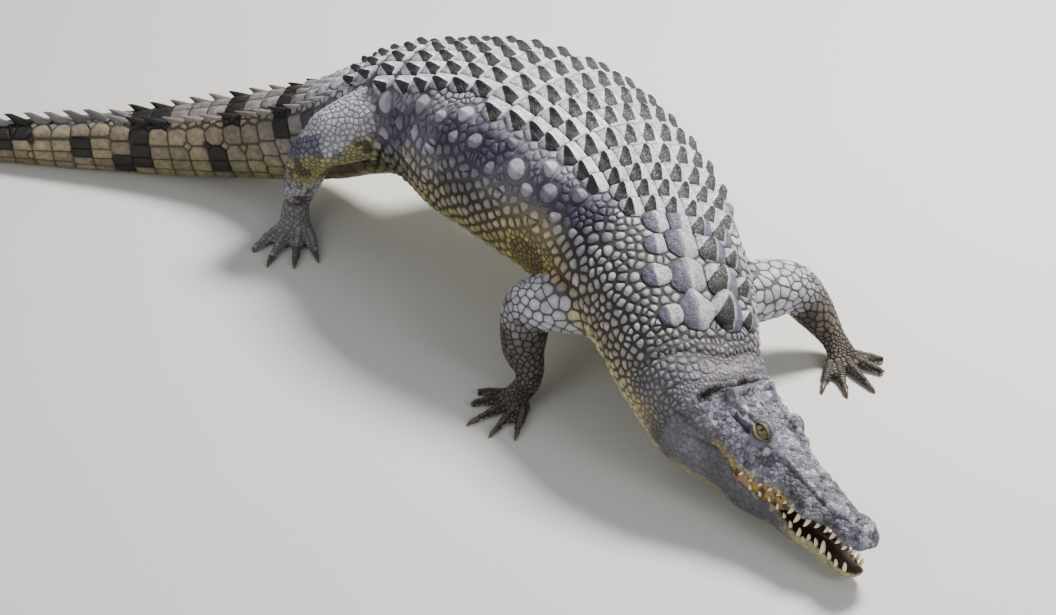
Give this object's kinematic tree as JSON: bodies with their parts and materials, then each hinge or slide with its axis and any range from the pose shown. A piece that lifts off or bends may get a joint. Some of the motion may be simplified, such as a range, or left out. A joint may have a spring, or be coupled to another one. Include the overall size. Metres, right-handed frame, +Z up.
{
  "type": "crocodile",
  "caption": "Life-size Nile crocodile walking with its head lowered and mouth slightly open, body raised on bent legs, tail trailing on the floor.",
  "frame": {"origin": "centre of the bounding box in plan, on the floor the animal stands on", "axes": "+X along the longest side of the box, from the tail towards the head; the head points towards +X and -Y; +Z up"},
  "size_m": [2.4862, 1.6344, 0.5152],
  "materials": {
    "hide": "satin",
    "eye": "gloss",
    "claw": "satin",
    "tooth": "satin"
  },
  "bodies": {
    "root": {"claw_foot_left_1": "claw", "claw_foot_left_2": "claw", "claw_foot_left_3": "claw", "claw_foot_right_1": "claw", "claw_foot_right_2": "claw", "claw_foot_right_3": "claw", "claw_hand_left_1": "claw", "claw_hand_left_2": "claw", "claw_hand_left_3": "claw", "claw_hand_right_1": "claw", "claw_hand_right_2": "claw", "claw_hand_right_3": "claw", "eye_left": "eye", "eye_right": "eye", "foot_left": "hide", "foot_right": "hide", "forearm_left": "hide", "forearm_right": "hide", "hand_left": "hide", "hand_right": "hide", "head": "hide", "lower_jaw": "hide", "neck": "hide", "pelvis": "hide", "shank_left": "hide", "shank_right": "hide", "tail_1": "hide", "tail_2": "hide", "tail_3": "hide", "tail_4": "hide", "tail_5": "hide", "thigh_left": "hide", "thigh_right": "hide", "trunk_front": "hide", "trunk_middle": "hide", "upper_arm_left": "hide", "upper_arm_right": "hide"}
  },
  "joints": []
}
